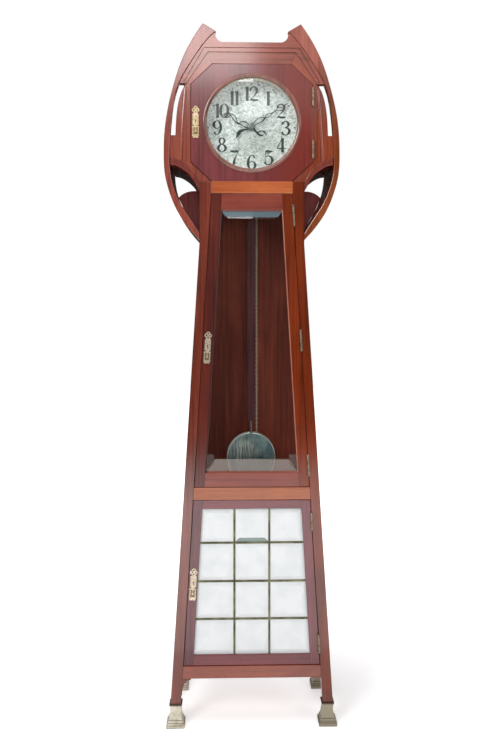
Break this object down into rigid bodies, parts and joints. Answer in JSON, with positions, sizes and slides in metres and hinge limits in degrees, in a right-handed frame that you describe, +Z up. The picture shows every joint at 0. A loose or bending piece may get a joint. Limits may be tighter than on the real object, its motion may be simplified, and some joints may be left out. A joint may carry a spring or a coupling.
{
  "type": "longcase clock",
  "caption": "Tapering mahogany longcase clock with a bow-shaped hoop around the hood, round dial, glazed waist door with pendulum and panelled glass door below.",
  "frame": {"origin": "on the floor under the middle of the case", "axes": "+X to the viewer's right, +Y to the back, +Z up; the doors face -Y"},
  "size_m": [0.527, 0.284, 2.1],
  "materials": {
    "mahogany": "French polished",
    "mahogany_light": "French polished",
    "mahogany_dark": "oiled",
    "nickel": "worn nickel plate",
    "brass": "polished",
    "clear_glass": "bevelled and polished",
    "pane_glass": "bevelled, silvered",
    "came_metal": "patinated",
    "silvered_dial": "silvered, tarnished",
    "blued_steel": "blued",
    "steel": "brushed",
    "rod_wood": "polished"
  },
  "bodies": {
    "case": {"stile_front_left": "mahogany", "stile_front_right": "mahogany", "stile_rear_left": "mahogany", "stile_rear_right": "mahogany", "side_panel_left": "mahogany", "side_panel_right": "mahogany", "backboard": "mahogany_dark", "rail_upper": "mahogany_light", "rail_middle": "mahogany_light", "rail_bottom": "mahogany_light", "foot_bracket": "mahogany", "waist_floor": "mahogany_dark", "base_floor": "mahogany_dark", "hood_frame": "mahogany", "cornice": "mahogany", "hood_roof": "mahogany", "hood_side_left": "mahogany", "hood_side_right": "mahogany", "hoop_left": "mahogany", "hoop_right": "mahogany", "shoulder_left": "mahogany", "shoulder_right": "mahogany", "web_panels": "mahogany", "seatboard": "mahogany_dark", "sabots": "nickel", "hinge_leaves_case": "brass", "dial": "silvered_dial", "movement_frame": "brass", "pendulum_cock": "brass", "chain_tail": "brass"},
    "hood_door_leaf": {"hood_door": "mahogany", "hood_glass": "clear_glass", "hood_bezel": "mahogany_light", "escutcheon_hood": "brass", "hinge_leaves_hood": "brass"},
    "waist_door_leaf": {"waist_door": "mahogany", "waist_glass": "clear_glass", "escutcheon_waist": "nickel", "hinge_leaves_waist": "brass"},
    "lower_door_leaf": {"lower_door": "mahogany", "lower_panes": "pane_glass", "lower_cames": "came_metal", "escutcheon_lower": "nickel", "hinge_leaves_lower": "brass"},
    "minute_arbor": {"center_wheel": "brass", "minute_hand": "blued_steel", "hand_nut": "blued_steel"},
    "hour_pipe": {"hour_wheel": "brass", "hour_hand": "blued_steel"},
    "minute_wheel_arbor": {"minute_wheel": "brass"},
    "great_arbor": {"great_wheel": "brass"},
    "third_arbor": {"third_wheel": "brass"},
    "escape_arbor": {"escape_wheel": "brass"},
    "anchor_arbor": {"anchor": "steel"},
    "pendulum": {"suspension_spring": "steel", "pendulum_rod": "rod_wood", "bob": "nickel", "rating_rod": "nickel"},
    "driving_weight": {"weight": "brass", "chain": "brass"}
  },
  "joints": [
    {"name": "hood_door_hinge", "type": "hinge", "parent": "case", "child": "hood_door_leaf", "pos_m": [0.18325, -0.1336, 1.803], "axis": [0, 0, 1], "range_deg": [0, 110]},
    {"name": "waist_door_hinge", "type": "hinge", "parent": "case", "child": "waist_door_leaf", "pos_m": [0.14756, -0.1336, 1.146], "axis": [-0.0589, 0, 0.9983], "range_deg": [0, 100]},
    {"name": "lower_door_hinge", "type": "hinge", "parent": "case", "child": "lower_door_leaf", "pos_m": [0.19016, -0.1336, 0.424], "axis": [-0.0589, 0, 0.9983], "range_deg": [0, 100]},
    {"name": "minute_hand_turn", "type": "hinge", "parent": "case", "child": "minute_arbor", "pos_m": [0, 0, 1.803], "axis": [0, 1, 0], "continuous": true},
    {"name": "hour_hand_turn", "type": "hinge", "parent": "case", "child": "hour_pipe", "pos_m": [0, 0, 1.803], "axis": [0, 1, 0], "continuous": true},
    {"name": "minute_wheel_turn", "type": "hinge", "parent": "case", "child": "minute_wheel_arbor", "pos_m": [0.024, 0, 1.803], "axis": [0, 1, 0], "continuous": true},
    {"name": "great_wheel_turn", "type": "hinge", "parent": "case", "child": "great_arbor", "pos_m": [0, 0, 1.8462], "axis": [0, 1, 0], "continuous": true},
    {"name": "third_wheel_turn", "type": "hinge", "parent": "case", "child": "third_arbor", "pos_m": [-0.02478, 0, 1.76761], "axis": [0, 1, 0], "continuous": true},
    {"name": "escape_wheel_turn", "type": "hinge", "parent": "case", "child": "escape_arbor", "pos_m": [0, 0, 1.7352], "axis": [0, 1, 0], "continuous": true},
    {"name": "anchor_rock", "type": "hinge", "parent": "case", "child": "anchor_arbor", "pos_m": [0, -0.025, 1.783], "axis": [0, 1, 0], "range_deg": [-2.5, 2.5]},
    {"name": "pendulum_swing", "type": "hinge", "parent": "case", "child": "pendulum", "pos_m": [0, -0.039, 1.783], "axis": [0, 1, 0], "range_deg": [-2.5, 2.5]},
    {"name": "weight_lift", "type": "slide", "parent": "case", "child": "driving_weight", "axis": [0, 0, 1], "range_m": [0, 0.75], "deforming": ["chain"]}
  ],
  "couplings": [
    {"joint": "hour_hand_turn", "follows": "minute_hand_turn", "ratio": 0.083333},
    {"joint": "minute_wheel_turn", "follows": "minute_hand_turn", "ratio": -0.33333},
    {"joint": "great_wheel_turn", "follows": "minute_hand_turn", "ratio": -0.125},
    {"joint": "third_wheel_turn", "follows": "minute_hand_turn", "ratio": -8},
    {"joint": "escape_wheel_turn", "follows": "minute_hand_turn", "ratio": 60},
    {"joint": "anchor_rock", "follows": "pendulum_swing", "ratio": 1}
  ]
}
